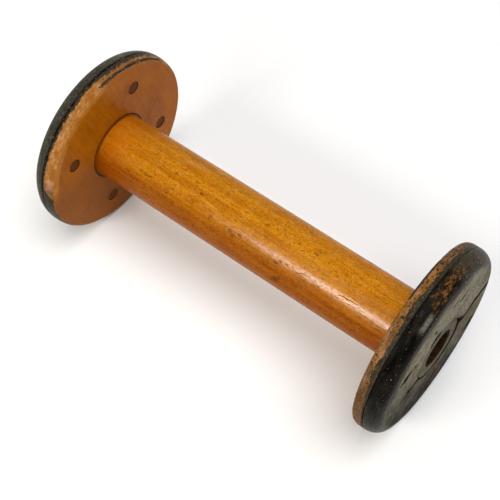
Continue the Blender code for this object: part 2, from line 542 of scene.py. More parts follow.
def make_barrel(size, materials, inside, step):
    """The varnished barrel with its tenons and bore."""
    radius = size["barrel_radius"]
    turned = Turned(barrel_outline(size, step), int(BARREL_SEGMENTS / step))
    places = turned.points()
    on_body = window(turned.x, -size["inner_face"] + 1, size["inner_face"] - 1, 0.5) * smooth(
        radius - 1.0, radius - 0.4, turned.r
    )
    in_bore = smooth(BORE_RADIUS + 0.5, BORE_RADIUS, turned.r)
    at_end = smooth(size["half_length"] - 0.3, size["half_length"], np.abs(turned.x)) * (1 - in_bore)
    stretched = places * (0.35, 1.0, 1.0)
    dark, deep = barrel_marks(turned, radius)
    slow = Perlin(3).fractal(stretched * 0.055, 3)
    lumps = Perlin(4).fractal(stretched * 0.35, 3)
    pores = smooth(0.50, 0.72, Perlin(5)(places * (0.45, 1.5, 1.5)))
    rough = Perlin(6).fractal(places * 0.5, 3)
    relief = on_body * (0.07 * slow + 0.018 * lumps - deep - 0.05 * pores)
    relief += in_bore * (0.22 * rough - 0.1)
    relief += at_end * (0.06 * Perlin(7).fractal(places * 0.12, 3) - 0.05)
    turned.push(relief)
    turned.fields["mark"] = on_body * dark
    patchy = Perlin(8).fractal(stretched * 0.10, 4)
    turned.fields["worn"] = on_body * smooth(0.28, 0.62, patchy + 0.05)
    turned.fields["polish"] = turned.around(117, 139, 14) * smooth(-38, 36, turned.x)
    # Painted shade: the barrel's underside, from 160 to 280 degrees round, is marked to be coloured
    # darker.
    turned.fields["painted_underside_shade"] = sector(turned.psi + 8 * patchy, 160, 280, 36)
    turned.fields["thin_paint"] = end_wear(turned, 0.15)
    obj = turned.build("barrel_wood", size["axis_z"], materials)
    cutters = []
    for number, path in enumerate(BARREL_CRACKS):
        widths = [0.0] + [BARREL_CRACK_WIDTH] * (len(path) - 2) + [0.0]
        route, name = on_barrel(path, radius), f"barrel_crack_{number}"
        seed = BARREL_CRACK_SEED + number
        cutters.append(crack_cutter(name, route, widths, BARREL_CRACK_DEPTH, seed, size["axis_z"]))
    cut_away(obj, cutters, inside)
    stands_for(obj, "barrel")
    return obj


# --- The flanges ---


def inner_ply_outline(label, size, step):
    """The section of the ply that faces the thread."""
    edge, radius = EDGES[label], size["flange_radius"]
    face, seam = size["inner_face"], size[f"{label}_seam"] - SEAM_GAP / 2
    hole = TENON_RADIUS + PLY_CLEAR
    outline = Outline((face, hole))
    outline.line((face, GROOVE_RADIUS - GROOVE_WIDTH / 2), 0.8)
    outline.line((face + GROOVE_DEPTH, GROOVE_RADIUS), 0.3)
    outline.line((face, GROOVE_RADIUS + GROOVE_WIDTH / 2), 0.3)
    outline.line((face, radius - edge["inner_radial"] - 4), INNER_FACE_STEP * step)
    outline.line((face, radius - edge["inner_radial"]), RIM_STEP * step)
    outline.quarter((face + edge["inner_axial"], radius), RIM_STEP * step, False)
    outline.line((seam - SEAM_BEVEL, radius), RIM_STEP * step)
    outline.line((seam, radius - SEAM_BEVEL), RIM_STEP)
    outline.line((seam, radius - 2), 0.8)
    outline.line((seam, hole), HIDDEN_STEP)
    outline.line((face, hole), HIDDEN_STEP)
    return outline


def outer_ply_outline(label, size, step):
    """The section of the ply on the bobbin's end."""
    edge, radius, end = EDGES[label], size["flange_radius"], size["half_length"]
    seam = size[f"{label}_seam"] + SEAM_GAP / 2
    hole = TENON_RADIUS + PLY_CLEAR
    outline = Outline((seam, hole))
    outline.line((seam, radius - 2), HIDDEN_STEP)
    outline.line((seam, radius - SEAM_BEVEL), 0.8)
    outline.line((seam + SEAM_BEVEL, radius), RIM_STEP)
    outline.quarter((end, radius - edge["outer_radial"]), RIM_STEP * step, True)
    outline.line((end, hole), FACE_STEP * step)
    outline.line((end - 2, hole), 0.7)
    outline.line((seam, hole), HIDDEN_STEP)
    return outline


def rim_noise(turned, seed):
    """Three sizes of noise for wear round a rim, drawn out along the way the rim was turned."""
    places = turned.points()
    drawn_out = places * (0.42, 0.13, 0.13)
    return (
        Perlin(seed).fractal(drawn_out, 3),
        Perlin(seed + 1).fractal(drawn_out * (2.2, 3.0, 3.0), 3),
        Perlin(seed + 2).fractal(places * (1.6, 0.8, 0.8), 2),
    )


def grain_points(turned, grain_deg, squeeze):
    """Places on a disc, with the grain's own direction squeezed."""
    grain = math.radians(grain_deg)
    y, z = turned.y(), turned.z()
    along = y * math.cos(grain) + z * math.sin(grain)
    across = z * math.cos(grain) - y * math.sin(grain)
    return np.stack([turned.x, along * squeeze, across], axis=-1)


def end_wear(turned, extra=0.0):
    """Where the paint on an end face is rubbed thin, 0 to 1."""
    y, z = turned.y(), turned.z()
    patch = smooth(1.25, 0.35, np.hypot((y + 3) / 15, (z + 30) / 14))
    right = 0.45 * smooth(1.2, 0.3, np.hypot((y - 33) / 16, (z + 12) / 20))
    streaks = Perlin(21).fractal(grain_points(turned, OUTER_GRAIN_DEG, 0.16) * 0.28, 4)
    blotches = Perlin(22).fractal(turned.points() * 0.055, 3)
    patch = patch * (0.75 + 1.1 * streaks)
    return np.clip(patch + right + 0.5 * blotches + 0.35 * streaks + extra, 0, 1)


def left_inner_paint(turned, u):
    """Paint level on the left inner ply's rim: above 0 is black paint, below is bare wood.

    u is mm from the seam, below 0 on this ply.
    """
    slow, middle, fine = rim_noise(turned, 31)
    edge = -1.5 + 1.0 * turned.around(146, 168, 6) - 0.5 * turned.around(40, 92, 8)
    # Painted shadow: black paint is spread over the rim from 178 to 215 degrees, where shadow falls.
    edge -= 4.2 * turned.around(178, 215, 12)
    from_seam = (u - edge - 1.5 * slow - 1.1 * middle) / 1.1
    band = window(u, -6.3, -5.0, 0.5)
    band *= turned.around(42, 96, 3) + 0.8 * turned.around(250, 300, 10)
    remains = 1.25 * band - 0.85 + 1.2 * middle + 0.9 * fine
    patches = turned.around(30, 88, 8) * (0.9 * slow + 1.1 * middle + 0.35 * (u + 3.5) - 0.15)
    flecks = 1.6 * (middle * 0.6 + fine * 0.7 - 0.55)
    clean = 0.35 * turned.around(100, 168, 8) * smooth(-1.8, -3.2, u)
    return np.maximum.reduce([from_seam, remains, patches - 0.1, flecks]) - clean


def right_inner_paint(turned, u):
    """Paint level on the right inner ply's rim, as left_inner_paint."""
    slow, middle, fine = rim_noise(turned, 41)
    edge = -1.1 - 1.2 * turned.around(70, 160, 12)
    edge -= 1.3 * turned.around(141, 149, 5) + 1.0 * turned.around(104, 112, 5)
    from_seam = (u - edge - 1.1 * slow - 0.8 * middle) / 0.9
    face_edge = window(u, -8.0, -6.4, 0.5) * turned.around(78, 104, 4)
    remains = 1.7 * face_edge - 0.9 + 0.7 * middle
    flecks = 0.6 * slow + 1.0 * middle + 1.4 * fine - 0.24
    flecks -= 0.25 * turned.around(160, 205, 10)
    flecks += 0.18 * turned.around(30, 74, 10)
    return np.maximum.reduce([from_seam, remains, flecks])


def left_outer_paint(turned, arc):
    """Paint level on the left outer ply. arc is mm over its surface from the seam."""
    slow, middle, fine = rim_noise(turned, 51)
    near_seam = smooth(2.2, 0.1, arc) * (0.45 * turned.around(66, 150, 12) + 0.3)
    chips = 0.7 * smooth(0.30, 0.60, middle) * (0.35 + 0.5 * smooth(0.0, 0.4, slow))
    specks = 1.4 * smooth(0.50, 0.72, fine + 0.3 * middle)
    worn = 1.5 * turned.around(255, 300, 12) * window(arc, 3, 8, 2)
    return 0.9 - 0.9 * near_seam - chips - specks - worn + 0.5 * slow + 0.8 * middle + 0.4 * fine


def right_outer_paint(turned, arc):
    """Paint level on the right outer ply, as left_outer_paint."""
    slow, middle, fine = rim_noise(turned, 61)
    level = 1.0 + 0.35 * slow + 0.5 * middle
    main = turned.around(77, 88, 5) * window(arc, 3.2, 5.2, 1.2)
    tail = 0.85 * turned.around(88, 100, 5) * window(arc, 6.0, 8.4, 1.4)
    corner = 0.8 * turned.around(44, 66, 8) * window(arc, 2.6, 4.8, 1.2)
    strip = 1.25 * turned.around(163, 192, 6) * smooth(1.8, 0.6, arc)
    level -= 0.72 * main + 0.45 * tail + 0.7 * corner + strip * (0.7 + 0.9 * middle)
    level -= (main + tail + corner) * (1.3 * middle + 0.8 * fine)
    level -= 1.6 * smooth(0.44, 0.66, fine + 0.25 * middle)
    level -= 1.1 * smooth(0.5, 0.1, arc) * turned.around(58, 132, 10) * (0.7 + middle)
    level -= 0.7 * turned.around(230, 330, 20) * window(arc, 2, 7, 2)
    return level


def outer_dust_and_sheen(turned, arc, flat, label):
    """How grey and dull the black paint is, 0 to 1: most on the face, least at the rim. Besides dust,
    it holds painted reflection and shade on the face, paler at the top and darker low down, a
    painted sheen on parts of the rims and a painted highlight on the right rim.
    """
    slow, middle, _ = rim_noise(turned, 66)
    streaks = Perlin(23).fractal(grain_points(turned, OUTER_GRAIN_DEG, 0.10) * 0.35, 3)
    # Painted reflection and shade: the face is greyer towards the top and darker low down.
    height = smooth(-50, 30, turned.z() + 0.25 * turned.y())
    inward = smooth(50.5, 40.5, turned.r)
    dark_edge = turned.around(78, 160, 20)
    face = flat * np.clip(0.08 + 0.88 * height + 0.40 * streaks + 0.25 * slow, 0, 1)
    face = face * (1 - dark_edge * (1 - inward))
    # Painted sheen: grey on parts of the rims, as reflections.
    rim = 0.15 * turned.around(30, 70, 14) + 0.03 * turned.around(170, 215, 14)
    if label == "left":
        rim = (rim + 0.18 * turned.around(50, 170, 20)) * smooth(0.3, 2.4, arc)
    pale = 0.0
    # Painted highlight: a soft pale patch on the right rim.
    if label == "right":
        pale = 0.40 * turned.around(108, 114, 5) * window(arc, 7.2, 8.4, 1.6)
    return np.clip(face + (1 - flat) * (rim * (0.8 + 0.8 * middle) + pale) + 0.06 * slow, 0, 1)


def outer_thin_paint(turned, arc, flat, label):
    """Where the black paint has browned, 0 to 1."""
    slow, middle, _ = rim_noise(turned, 68)
    thin = flat * end_wear(turned)
    thin = thin + (1 - flat) * np.clip(0.9 * slow + 0.6 * middle, 0, 1) * 0.22
    if label == "right":
        patch = turned.around(75, 98, 6) * window(arc, 2.4, 6.0, 1.4)
        patch = patch + 0.8 * turned.around(87, 101, 5) * window(arc, 5.8, 8.8, 1.3)
        thin = thin + patch * (0.50 + 1.2 * middle)
        thin = thin + 0.15 * turned.around(40, 74, 9) * window(arc, 0.5, 8, 1.6)
    return np.clip(thin, 0, 1)


def rim_dirt_and_shadow(turned, label, on_rim):
    """How dark the bare wood of an inner ply's rim and face is, 0 to 1: dirt, with painted shadow low down
    on the left rim.
    """
    cloud = Perlin(73).fractal(turned.points() * (0.3, 0.08, 0.08), 4)
    if label == "left":
        # Painted shadow: the left rim is darkened from 172 to 235 degrees.
        dirt = 0.8 * turned.around(172, 235, 14) + 0.35 * smooth(-0.05, 0.5, cloud)
        dirt = dirt + 0.30 * turned.around(20, 92, 8) - 0.10 * turned.around(105, 165, 10)
    else:
        # On the right the rim is lighter from 76 to 150 degrees and darker from 150 to 205.
        dirt = 0.88 - 0.40 * turned.around(76, 150, 14) + 0.8 * cloud
        dirt = dirt + 0.24 * turned.around(150, 205, 8)
    # The face is darker round its lower side, from 190 to 300 degrees.
    face = 0.45 * turned.around(190, 300, 35) + 0.12 * smooth(0.0, 0.5, cloud)
    return np.clip(on_rim * dirt + (1 - on_rim) * face, 0, 1)


def painted_edge_highlight(turned, label, face_edge):
    """Where a pale band is painted just inside the rim, 0 to 1: a painted highlight along the rounded
    edge.
    """
    where = turned.around(100, 168, 16) if label == "left" else turned.around(200, 300, 30)
    ragged = Perlin(77).fractal(turned.points() * (0.2, 0.12, 0.12), 3)
    near = window(turned.r, face_edge - 2.6, face_edge + 1.5, 2.0)
    return where * near * np.clip(0.7 + ragged, 0, 1)


def add_paint_relief(turned, level, on_wood_rim, seed):
    """Sink bare wood below the paint, and pit it."""
    painted = smooth(-0.12, 0.12, level)
    pits = smooth(0.50, 0.72, Perlin(seed).fractal(turned.points() * (1.3, 0.9, 0.9), 2))
    sunk = PAINT_THICKNESS * (1 - painted) + PIT_DEPTH * pits * (1 - painted)
    turned.push(-on_wood_rim * sunk)


def seam_spread(turned, label):
    """How much wider the seam is open at each place, in mm."""
    slow = Perlin(71).fractal(turned.points() * (0.0, 0.03, 0.03), 2)
    spread = 0.05 + 0.08 * slow
    if label == "right":
        spread = spread + 0.34 * turned.around(145, 205, 18) - 0.2 * turned.around(50, 118, 10)
    return np.clip(spread, 0.0, 0.5)


def holes(label, size):
    """Cutters for a flange's four dowel holes."""
    start = SIDES[label] * (size["inner_face"] - 3)
    end = SIDES[label] * (size["dowel_end"] + DOWEL_CLEAR)
    radius = size["dowel_radius"] + DOWEL_CLEAR
    return [
        hole_cutter(f"hole_{number}", centre, radius, start, end, size["axis_z"])
        for number, centre in enumerate(dowel_centres(label, size))
    ]


def make_inner_ply(label, size, material, inside, step):
    """The ply of one flange that faces the thread."""
    radius = size["flange_radius"]
    face_edge = radius - EDGES[label]["inner_radial"]
    turned = Turned(inner_ply_outline(label, size, step), int(PLY_SEGMENTS / step), SIDES[label])
    u = turned.x - size[f"{label}_seam"]
    on_rim = smooth(face_edge - 0.5, face_edge + 0.9, turned.r)
    level = (left_inner_paint if label == "left" else right_inner_paint)(turned, u)
    level = np.where(on_rim > 0.02, level, -1.0) * on_rim - (1 - on_rim)
    turned.fields["paint"] = 0.5 + 0.5 * np.clip(level, -1, 1)
    turned.fields["rim"] = on_rim
    turned.fields["dirt"] = rim_dirt_and_shadow(turned, label, on_rim)
    # Painted shade: the groove round the barrel and the glued side inside the seam are marked to be
    # coloured dark, as the shade in them.
    groove_reach = 0.6 * GROOVE_WIDTH
    groove = smooth(groove_reach + 0.3, groove_reach, np.abs(turned.r - GROOVE_RADIUS))
    glued_side = smooth(-1.5, -0.5, u) * smooth(radius - 2, radius - 4, turned.r)
    turned.fields["dark"] = np.maximum(groove * (u < -3), glued_side)
    turned.fields["edge_highlight"] = painted_edge_highlight(turned, label, face_edge)
    wobble = 0.05 * Perlin(74).fractal(grain_points(turned, INNER_GRAIN_DEG, 0.3) * 0.06, 3)
    ridge = 0.07 * window(turned.r, face_edge - 1.4, face_edge - 0.2, 0.5)
    turned.push((1 - on_rim) * wobble + ridge)
    add_paint_relief(turned, level, on_rim, 75)
    at_seam = smooth(size[f"{label}_seam"] - 1.2, size[f"{label}_seam"] - 0.3, turned.x)
    turned.x = turned.x - 0.5 * at_seam * seam_spread(turned, label)
    obj = turned.build(f"{label}_inner_ply_wood", size["axis_z"], [material])
    cut_away(obj, holes(label, size), inside)
    stands_for(obj, f"{label}_inner_ply")
    return obj


# Cracks and gouges in the outer faces: (y, z) points, widths in mm there, depth in mm.
OUTER_CRACKS = {
    "right": [
        ([(54.5, 3.4), (50, 2.2), (42, 1.2), (36, 1.4), (31, -1.2), (26, -2.6), (22.5, -2.0)],
         [4.0, 4.0, 3.7, 3.0, 2.2, 2.6, 3.2], 4.5),
        ([(28, -4.4), (24, -1.8), (20.6, 1.2), (18.6, 4.4), (16.9, 8.4)], [0.3, 2.5, 3.4, 2.6, 0.5], 4.0),
        ([(-16.5, -8.5), (-21, -9.6), (-26, -11.0), (-31, -12.0), (-36, -14.0)],
         [2.2, 1.9, 2.0, 1.2, 0.2], 3.0),
        ([(-28, -5.6), (-26.5, -8.0), (-27.5, -10.4)], [0.4, 1.9, 0.3], 2.0),
        ([(-37.5, 15.2), (-34, 16.4), (-29.8, 17.6)], [1.4, 5.0, 1.4], 3.0),
        ([(-27.0, 16.2), (-25.2, 17.2), (-23.8, 17.8)], [0.0, 1.3, 0.0], 1.2),
        ([(-9.5, 17.2), (-6.0, 19.0), (-2.8, 20.2)], [1.4, 5.0, 1.4], 2.8),
        ([(34.0, -26.8), (38.0, -24.6), (42.5, -22.0)], [1.4, 5.2, 1.4], 3.0),
        ([(-20.0, -37.0), (-16.0, -35.5)], [0.8, 0.5], 0.7),
        ([(16.0, 29.5), (22.0, 32.5)], [1.0, 0.5], 0.6),
        ([(7.5, 33.0), (11.0, 35.5)], [0.9, 0.4], 0.6),
        ([(-9.5, 30.5), (-7.0, 26.0)], [0.7, 0.3], 0.6),
    ],
    "left": [
        ([(-53.5, -16.0), (-44, -12.6), (-34, -10.2), (-27, -7.0), (-20, -5.2)],
         [2.0, 1.6, 0.9, 1.4, 1.7], 3.2),
        ([(18, 8.5), (29, 10.8), (38, 14.5)], [1.6, 1.0, 0.0], 2.4),
        ([(-8, 36.0), (-4.5, 37.2), (-1, 38.0)], [0.5, 2.4, 0.5], 2.0),
        ([(26, -31), (30, -29.6), (33, -28.8)], [0.4, 2.0, 0.4], 1.6),
    ],
}

# Where the joint round a tenon has opened: start and end angle, and how wide, in mm.
OPEN_JOINTS = {
    "right": [(204, 374, 1.0), (280, 364, 1.9), (96, 122, 0.9)],
    "left": [(150, 262, 1.0), (20, 48, 0.8)],
}


def crack_stain(turned, label, end):
    """How dark the paint is beside the cracks in an end face, 0 to 1."""
    y, z = turned.y(), turned.z()
    stain_and_gap_shade = np.zeros_like(y)
    for path, widths, _ in OUTER_CRACKS[label]:
        for (y0, z0), (y1, z1), w0, w1 in zip(path, path[1:], widths, widths[1:]):
            length2 = (y1 - y0) ** 2 + (z1 - z0) ** 2
            part = np.clip(((y - y0) * (y1 - y0) + (z - z0) * (z1 - z0)) / length2, 0, 1)
            away = np.hypot(y - y0 - part * (y1 - y0), z - z0 - part * (z1 - z0))
            width = w0 + (w1 - w0) * part
            near = smooth(0.5 * width + STAIN_REACH, 0.35 * width, away) * smooth(0.0, 1.0, width)
            stain_and_gap_shade = np.maximum(stain_and_gap_shade, near)
    return stain_and_gap_shade * smooth(end - 4, end - 2, turned.x)


def make_outer_ply(label, size, material, inside, step):
    """The painted ply on one end."""
    radius, end = size["flange_radius"], size["half_length"]
    turned = Turned(outer_ply_outline(label, size, step), int(PLY_SEGMENTS / step), SIDES[label])
    from_seam = np.hypot(turned.x[:, 0] - size[f"{label}_seam"], turned.r[:, 0] - radius)
    arc = turned.along - turned.along[np.argmin(from_seam)]
    level = (left_outer_paint if label == "left" else right_outer_paint)(turned, arc)
    flat_edge = radius - EDGES[label]["outer_radial"]
    flat = smooth(flat_edge + 2.5, flat_edge - 1.5, turned.r)
    face_level = 0.75 + 0.5 * Perlin(81).fractal(grain_points(turned, OUTER_GRAIN_DEG, 0.2) * 0.3, 3)
    level = level * (1 - flat) + face_level * flat
    turned.fields["bare"] = 0.5 - 0.5 * np.clip(level, -1, 1)
    stain_and_gap_shade = crack_stain(turned, label, end)
    # Painted shade: the wall of the hole round the tenon and the face beside each opened joint are
    # coloured dark, as the shade in the gap; beside the cracks it is stain.
    in_hole = smooth(TENON_RADIUS + 1.2, TENON_RADIUS + 0.2, turned.r)
    opened = sum(width * turned.around(a, b, 6) for a, b, width in OPEN_JOINTS[label])
    beside = smooth(TENON_RADIUS + 2.6, TENON_RADIUS + 0.8, turned.r) * np.clip(0.45 * opened, 0, 0.95)
    turned.fields["stain_and_gap_shade"] = np.maximum.reduce([stain_and_gap_shade, in_hole, beside])
    turned.fields["flat"] = flat
    turned.fields["dust"] = outer_dust_and_sheen(turned, arc, flat, label)
    turned.fields["thin_paint"] = outer_thin_paint(turned, arc, flat, label)
    wobble = Perlin(82).fractal(grain_points(turned, OUTER_GRAIN_DEG, 0.35) * 0.07, 3)
    grain = Perlin(83).fractal(grain_points(turned, OUTER_GRAIN_DEG, 0.1) * 0.9, 2)
    turned.push(0.10 * wobble + flat * 0.035 * grain)
    add_paint_relief(turned, level, 1.0, 84)
    at_seam = smooth(size[f"{label}_seam"] + 1.2, size[f"{label}_seam"] + 0.3, turned.x)
    turned.x = turned.x + 0.5 * at_seam * seam_spread(turned, label)
    shut = (0.26 + 0.03 * wobble) * in_hole
    give = smooth(TENON_RADIUS + 6.5, TENON_RADIUS + 0.3, turned.r)
    ragged = 0.5 + 0.5 * Perlin(85).fractal(turned.points() * 0.4, 2)
    turned.r = turned.r - shut + give * opened * (0.7 + 0.6 * ragged)
    obj = turned.build(f"{label}_outer_ply_wood", size["axis_z"], [material])
    cutters = holes(label, size)
    for number, (path, widths, depth) in enumerate(OUTER_CRACKS[label]):
        route, name = on_end(path, SIDES[label] * end), f"end_crack_{number}"
        seed = END_CRACK_SEED + number
        cutters.append(crack_cutter(name, route, widths, depth, seed, size["axis_z"]))
    cut_away(obj, cutters, inside)
    stands_for(obj, f"{label}_outer_ply")
    return obj


def make_dowel(label, number, centre, size, material):
    """One dowel: a round peg with a slightly sunk, domed end of its own."""
    start, end, radius = size["inner_face"], size["dowel_end"], size["dowel_radius"]
    rng = np.random.default_rng(100 * (1 + SIDES[label]) + number)
    sunk = 0.12 + 0.15 * rng.random()
    outline = Outline((start + sunk, AXIS_HOLE))
    outline.line((start + sunk, radius - 0.5), 0.35)
    outline.quarter((start + sunk + 0.4, radius), 0.2, False)
    outline.line((end - 0.3, radius), 3.0)
    outline.line((end, radius - 0.3), 1.0)
    outline.line((end, AXIS_HOLE), 1.5)
    outline.line((start + sunk, AXIS_HOLE), 12.0)
    turned = Turned(outline, DOWEL_SEGMENTS, SIDES[label])
    turned.r = turned.r * (0.988 + 0.012 * np.cos(2 * turned.angle + rng.random() * 6))
    places = turned.points() + (0, 31.0 * number, 17.0 * SIDES[label])
    facing = smooth(start + 1.0, start + 0.5, turned.x) * smooth(0.01, 0.3, turned.r)
    dimples = smooth(0.1, 0.5, Perlin(92)(places * 1.6))
    turned.push(facing * (0.10 * Perlin(91).fractal(places * 0.5, 3) - 0.03 * dimples))
    obj = turned.build(f"{label}_dowel_peg_{number}", size["axis_z"], [material])
    obj.data.transform(Matrix.Translation((0, centre[0] * MM, centre[1] * MM)))
    stands_for(obj, f"{label}_dowel_{number}")
    return obj


# --- Materials ---


class Shader:
    """A material, with its node tree written as nested calls. Colours are linear."""

    def __init__(self, name):
        self.material = bpy.data.materials.new(name)
        self.material.use_nodes = True
        self.tree = self.material.node_tree
        self.surface = self.tree.nodes["Principled BSDF"]

    def node(self, kind, values=(), **settings):
        """A node with each input filled by a value or by another node's output."""
        made = self.tree.nodes.new(kind)
        for key, value in settings.items():
            setattr(made, key, value)
        for key, value in dict(values).items():
            self.fill(made.inputs[key], value)
        return made

    def fill(self, socket, value):
        if isinstance(value, bpy.types.NodeSocket):
            self.tree.links.new(value, socket)
        elif isinstance(value, tuple) and len(value) == 3 and len(socket.default_value) == 4:
            socket.default_value = (*value, 1.0)
        else:
            socket.default_value = value

    def math(self, operation, a, b):
        return self.node("ShaderNodeMath", {0: a, 1: b}, operation=operation).outputs[0]

    def times(self, a, b):
        return self.math("MULTIPLY", a, b)

    def weighted(self, first, *others):
        """The sum of (value, weight) parts."""
        total = self.times(*first)
        for part in others:
            total = self.math("ADD", total, self.times(*part))
        return total

    def step(self, value, low, high, out_low=0.0, out_high=1.0):
        """A smooth step of value from low to high."""
        inputs = {"Value": value, "From Min": low, "From Max": high, "To Min": out_low, "To Max": out_high}
        return self.node("ShaderNodeMapRange", inputs, interpolation_type="SMOOTHSTEP").outputs["Result"]

    def mix(self, factor, a, b, blend="MIX"):
        made = self.node("ShaderNodeMix", {0: factor, 6: a, 7: b}, data_type="RGBA", blend_type=blend)
        return made.outputs[2]

    def tint(self, colour, value, low, high, amount, other):
        """colour, with up to this amount of another one mixed in as value goes from low to high."""
        return self.mix(self.step(value, low, high, 0.0, amount), colour, other)

    def between(self, factor, a, b):
        """A number between a and b."""
        return self.node("ShaderNodeMix", {0: factor, 2: a, 3: b}, data_type="FLOAT").outputs[0]

    def ramp(self, value, stops):
        """A colour ramp through (place, colour) stops."""
        made = self.node("ShaderNodeValToRGB", {0: value})
        elements = made.color_ramp.elements
        while len(elements) < len(stops):
            elements.new(0.5)
        for element, (place, colour) in zip(elements, stops):
            element.position = place
            element.color = (*colour, 1.0)
        return made.outputs[0]

    def field(self, name):
        """A field that the mesh carries."""
        return self.node("ShaderNodeAttribute", attribute_name=name).outputs["Fac"]

    def places(self, stretch=EVEN, turn_deg=0.0):
        """The piece's own coordinates in mm, turned about X, then scaled."""
        coordinates = self.node("ShaderNodeTexCoord").outputs["Object"]
        turn = (-math.radians(turn_deg), 0, 0)
        turned = self.node("ShaderNodeMapping", {"Vector": coordinates, "Rotation": turn}).outputs[0]
        scale = tuple(part / MM for part in stretch)
        return self.node("ShaderNodeMapping", {"Vector": turned, "Scale": scale}).outputs[0]

    def noise(self, stretch, scale, detail=3.0, roughness=0.55, distortion=0.0, turn_deg=0.0):
        """Noise of this scale per mm, drawn out along an axis by a stretch below 1 there."""
        inputs = {
            "Vector": self.places(stretch, turn_deg),
            "Scale": scale,
            "Detail": detail,
            "Roughness": roughness,
            "Distortion": distortion,
        }
        return self.node("ShaderNodeTexNoise", inputs).outputs[0]

    def made_of(self, values):
        """The material, with these values or outputs in its surface."""
        for key, value in values.items():
            self.fill(self.surface.inputs[key], value)
        return self.material

    def finish(self, colour, roughness, height_mm, shine):
        """The finished material. Its bumps come from a height in mm."""
        bump = self.node("ShaderNodeBump", {"Height": height_mm, "Distance": MM, "Strength": 1.0})
        return self.made_of({
            "Base Color": colour,
            "Roughness": roughness,
            "Normal": bump.outputs[0],
            "Specular IOR Level": shine,
        })


def wound_lines(s):
    """Fine lines round the barrel, where thread has pressed into the varnish."""
    inputs = {
        "Vector": s.places((1, 0.02, 0.02)),
        "Scale": 0.55,
        "Distortion": 2.2,
        "Detail": 3.0,
        "Detail Scale": 1.4,
    }
    wave = s.node("ShaderNodeTexWave", inputs, bands_direction="X").outputs[1]
    return s.step(wave, 0.55, 0.95)


def varnished_barrel():
    """Golden amber varnish over close-grained hardwood, with pores, figure and handling wear, and painted
    shade on its underside.
    """
    s = Shader("barrel_varnish")
    figure = s.noise((0.10, 1, 1), 0.16, 4, 0.55, 1.2)
    stripes = s.noise((0.045, 1, 1), 0.75, 4, 0.6)
    mottle = s.noise((0.7, 1, 1), 0.09, 4, 0.6)
    flecks = s.noise((0.42, 1, 1), 1.15, 4, 0.62)
    sparkle = s.noise((0.36, 1, 1), 2.3, 3, 0.65)
    dashes = s.noise((0.26, 1, 1), 1.35, 3, 0.6)
    band = s.noise((0.012, 1, 1), 0.34, 3, 0.6)
    pores = s.noise((0.16, 1, 1), 3.0, 2, 0.5)
    haze = s.noise((0.45, 1, 1), 0.30, 4, 0.65)
    along_grain = s.weighted((figure, 0.50), (stripes, 0.50))
    colour = s.ramp(
        s.weighted((along_grain, 0.66), (mottle, 0.34)),
        [
            (0.36, (0.330, 0.092, 0.0010)),
            (0.45, (0.430, 0.142, 0.0020)),
            (0.55, (0.505, 0.186, 0.0035)),
            (0.64, (0.560, 0.228, 0.0070)),
        ],
    )
    for value, low, high, amount, other in [
        (haze, 0.50, 0.64, 0.50, (0.54, 0.240, 0.036)),
        (flecks, 0.52, 0.66, 0.45, (0.25, 0.068, 0.002)),
        (sparkle, 0.50, 0.60, 0.48, (0.23, 0.066, 0.002)),
        (sparkle, 0.49, 0.39, 0.30, (0.72, 0.33, 0.025)),
        (band, 0.53, 0.66, 0.45, (0.30, 0.085, 0.002)),
        (band, 0.47, 0.34, 0.35, (0.66, 0.27, 0.012)),
        (dashes, 0.60, 0.67, 0.75, BARREL_PORE),
        (pores, 0.58, 0.70, 0.70, BARREL_PORE),
    ]:
        colour = s.tint(colour, value, low, high, amount, other)
    from_left = s.node("ShaderNodeSeparateXYZ", {0: s.places()}).outputs[0]
    colour = s.tint(colour, from_left, -66.0, -104.0, 0.62, (0.36, 0.082, 0.002))
    # Painted shade: the colour is darkened and reddened on the underside, where shade falls.
    shaded = s.mix(1.0, colour, (0.60, 0.43, 0.28), "MULTIPLY")
    colour = s.mix(s.field("painted_underside_shade"), colour, shaded)
    worn = s.times(s.field("worn"), s.step(flecks, 0.40, 0.60, 0.15, 0.70))
    colour = s.mix(worn, colour, (0.50, 0.215, 0.055))
    mark = s.field("mark")
    colour = s.mix(s.times(mark, 0.85), colour, (0.075, 0.022, 0.003))
    lines = s.times(s.step(from_left, -20.0, -80.0), wound_lines(s))
    colour = s.mix(s.times(lines, 0.22), colour, (0.24, 0.065, 0.004))
    roughness = s.math("ADD", s.step(mottle, 0.35, 0.65, 0.17, 0.25), s.times(worn, 0.2))
    peel = s.noise((0.6, 1, 1), 0.9, 5, 0.65)
    pits = s.step(pores, 0.58, 0.70)
    height = s.weighted((peel, 0.070), (flecks, -0.05), (pits, -0.030), (lines, -0.012))
    shine = s.times(s.between(s.field("polish"), 0.03, 0.50), s.between(mark, 1.0, 0.2))
    return s.finish(colour, roughness, height, shine)


def black_paint(s, thin, dust):
    """The colour, roughness and shine of old black paint. thin browns it; dust greys it."""
    cloud = s.noise(EVEN, 0.10, 4, 0.6)
    fine = s.noise((1, 0.7, 0.7), 1.1, 4, 0.62)
    rubbing = s.noise((0.9, 0.35, 0.35), 0.9, 4, 0.55)
    black = s.ramp(cloud, [(0.35, (0.0015, 0.0014, 0.0012)), (0.65, (0.0060, 0.0056, 0.0045))])
    olive = s.ramp(cloud, [(0.35, (0.262, 0.240, 0.172)), (0.65, (0.365, 0.340, 0.262))])
    olive = s.tint(olive, fine, 0.44, 0.64, 0.6, (0.060, 0.052, 0.033))
    brown = s.ramp(
        rubbing,
        [(0.36, (0.024, 0.011, 0.005)), (0.50, (0.075, 0.034, 0.011)), (0.62, (0.190, 0.085, 0.024))],
    )
    browned = s.times(thin, s.step(rubbing, 0.34, 0.60, 0.40, 1.0))
    colour = s.mix(browned, s.mix(dust, black, olive), brown)
    glossy, dull = s.step(fine, 0.35, 0.65, 0.24, 0.38), s.step(fine, 0.35, 0.65, 0.50, 0.64)
    return colour, s.between(dust, glossy, dull), s.between(dust, 0.028, 0.005)


